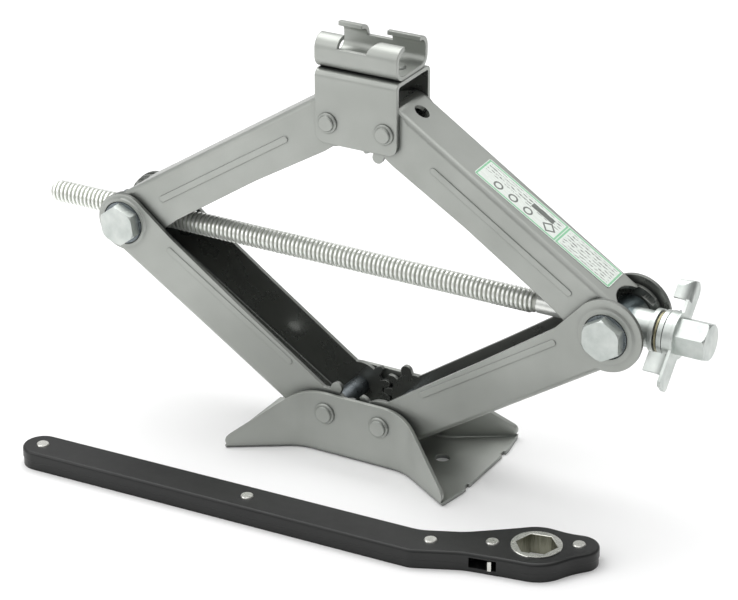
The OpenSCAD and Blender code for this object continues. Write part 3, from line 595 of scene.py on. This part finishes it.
def make_label():
    """A thin film with round corners in the place of its CAD slab, mapped for its print.

    The slab's three edges from one corner are told apart by their lengths.
    """
    verts = [v.co.copy() for v in frame["nodes"]["instruction_label"].data.vertices]
    middle = sum(verts, Vector()) / len(verts)
    corner = max(verts, key=lambda v: (v.x, -v.y, -v.z))
    sides = sorted({round((v - corner).length, 6): v - corner for v in verts}.items())
    thick = sides[1][1]
    across = next(v for d, v in sides if d > 5 * MM)
    along = next(v for d, v in sides if d > 50 * MM)
    length, width = along.length, across.length
    u = -along.normalized()
    n = thick.normalized() * math.copysign(1, thick.z)
    v = n.cross(u)
    v *= math.copysign(1, v.y)
    round_r = 1.6 * MM
    ring = []
    for i, (sx, sy) in enumerate(((1, 1), (-1, 1), (-1, -1), (1, -1))):
        for k in range(5):
            a = math.radians(90 * i + 22.5 * k)
            ring.append((sx * (length / 2 - round_r) + round_r * math.cos(a),
                         sy * (width / 2 - round_r) + round_r * math.sin(a)))
    half = thick.length / 2
    points = [middle + u * a + v * b + n * h for h in (-half, half) for a, b in ring]
    count = len(ring)
    faces = [tuple(range(count, 2 * count)), tuple(range(count - 1, -1, -1))]
    faces += [(i, (i + 1) % count, count + (i + 1) % count, count + i) for i in range(count)]
    mesh = bpy.data.meshes.new("label_film")
    mesh.from_pydata(points, [], faces)
    bm = bmesh.new()
    bm.from_mesh(mesh)
    bmesh.ops.recalc_face_normals(bm, faces=bm.faces)
    bm.to_mesh(mesh)
    bm.free()
    uv = mesh.uv_layers.new(name="print").data
    for loop in mesh.loops:
        a, b = ring[loop.vertex_index % count]
        uv[loop.index].uv = (a / length + 0.5, b / width + 0.5)
    link_piece(mesh, "label_film", "instruction_label", printed_film(length, width))


make_camera()

PAINT = painted_steel()
CUT_EDGE = painted_steel("cut_edge", 0.5)
# The inside paint is a darker, glossier copy of the paint: its darkness is painted shade.
SHADED_INSIDE = painted_steel("inside", 0.48, (0.22, 0.34))
ZINC = zinc_steel()
BRIGHT = bright_steel()
DARK = dark_steel()
BRASS = cage_brass()
BLACK = black_satin()
OF_SLOT = {
    "painted_steel": PAINT, "zinc_steel": ZINC, "bright_steel": BRIGHT, "dark_steel": DARK,
    "cage_brass": BRASS, "black_satin": BLACK, "label": ZINC,
}
GREASY = zinc_steel("greasy_zinc", PIVOT["screw_spin"].x + 9 * MM)
for name, node in frame["nodes"].items():
    node.data.materials.clear()
    node.data.materials.append(OF_SLOT[SLOT_OF[name]])

SOCKET = PIVOT["ratchet_spin"]
TOP_LEFT = PIVOT["top_pivot"]
TOP_RIGHT = Vector((-TOP_LEFT.x, 0, TOP_LEFT.z))
UP = Vector((0, 0, 6 * MM))
BASE_SHEET = 2.5 * MM
RING_CLEAR = 16 * MM
paint_sheet("lower_left_arm", PIVOT["lift"], PIVOT["left_trunnion_pivot"])
paint_sheet("lower_right_arm", PIVOT["lower_right_pivot"], PIVOT["right_trunnion_pivot"])
paint_sheet("upper_left_arm", PIVOT["left_trunnion_pivot"], TOP_LEFT)
paint_sheet("upper_right_arm", PIVOT["right_trunnion_pivot"], TOP_RIGHT)
paint_sheet("top_bracket", TOP_LEFT + UP, TOP_RIGHT + UP)
finish("saddle", PAINT)
finish("base_plate", PAINT, rounds=(
    (folded_edge(0, 25 * MM), 2.2 * MM, 4),
    (folded_edge(BASE_SHEET, 22 * MM), 1.2 * MM, 3),
))
for name in ("base_pivot_pins", "top_pivot_pins"):
    finish(name, PAINT)
for name in ("left_shoulder_bolts", "right_shoulder_bolts", "drive_head", "drive_yoke"):
    finish(name, ZINC, sharp=20)
finish("bearing_block", GREASY)
# The head washers sit in the ears' recesses; their dark steel partly stands for painted shade there.
for name in ("left_head_washers", "right_head_washers"):
    finish(name, DARK)
finish("handle_lower_shell", BLACK)
finish("handle_upper_shell", BLACK, rounds=(
    (top_rim("handle_upper_shell", SOCKET, RING_CLEAR), 1.8 * MM, 4),
))
make_socket()
make_screw(PIVOT["screw_spin"].z)
make_label()


# ---- floor and light ----


def make_floor():
    mesh = bpy.data.meshes.new("floor")
    half = 20
    corners = [(-half, -half, 0), (half, -half, 0), (half, half, 0), (-half, half, 0)]
    mesh.from_pydata(corners, [], [(0, 1, 2, 3)])
    floor = bpy.data.objects.new("floor", mesh)
    bpy.context.scene.collection.objects.link(floor)
    s = Shader("floor")
    s.set(Base_Color=(0.96, 0.96, 0.96, 1), Roughness=0.6, Specular_IOR_Level=0.2)
    mesh.materials.append(s.material)


LIT = Vector((0, 0, 0.1))


def area_light(name, location, size, power):
    """A rectangular light that faces the jack. power is in watts."""
    data = bpy.data.lights.new(name, "AREA")
    data.shape = "RECTANGLE"
    data.size, data.size_y = size
    data.energy = power
    light = bpy.data.objects.new(name, data)
    light.location = location
    light.rotation_mode = "QUATERNION"
    light.rotation_quaternion = (LIT - Vector(location)).to_track_quat("-Z", "Y")
    bpy.context.scene.collection.objects.link(light)


def make_world():
    """A studio that is dim near the floor, bright overhead and darker towards +X."""
    world = bpy.data.worlds.new("studio")
    bpy.context.scene.world = world
    world.use_nodes = True
    nodes, links = world.node_tree.nodes, world.node_tree.links
    background = next(n for n in nodes if n.type == "BACKGROUND")
    ray = nodes.new("ShaderNodeTexCoord").outputs["Generated"]
    split = nodes.new("ShaderNodeSeparateXYZ")
    links.new(ray, split.inputs[0])
    ramp = nodes.new("ShaderNodeValToRGB")
    ramp.color_ramp.elements.new(0.5)
    for stop, (height, grey) in zip(ramp.color_ramp.elements, ((0.0, 0.22), (0.42, 0.34), (0.62, 1.0))):
        stop.position = height
        stop.color = (grey, grey, grey, 1)
    links.new(split.outputs["Z"], ramp.inputs[0])
    falloff = nodes.new("ShaderNodeMapRange")
    for socket, value in zip(falloff.inputs[1:5], (0.1, 0.8, 1.0, 0.3)):
        socket.default_value = value
    links.new(split.outputs["X"], falloff.inputs[0])
    shaded = nodes.new("ShaderNodeVectorMath")
    shaded.operation = "SCALE"
    links.new(ramp.outputs[0], shaded.inputs[0])
    links.new(falloff.outputs[0], shaded.inputs["Scale"])
    links.new(shaded.outputs[0], background.inputs["Color"])
    background.inputs["Strength"].default_value = 1.3


make_floor()
make_world()
area_light("overhead", (-0.3, 0.3, 1.3), (1.4, 1.0), 9)
area_light("front_left", (-1.2, -1.2, 0.8), (0.8, 0.8), 5)
bpy.context.scene.view_settings.view_transform = "Standard"
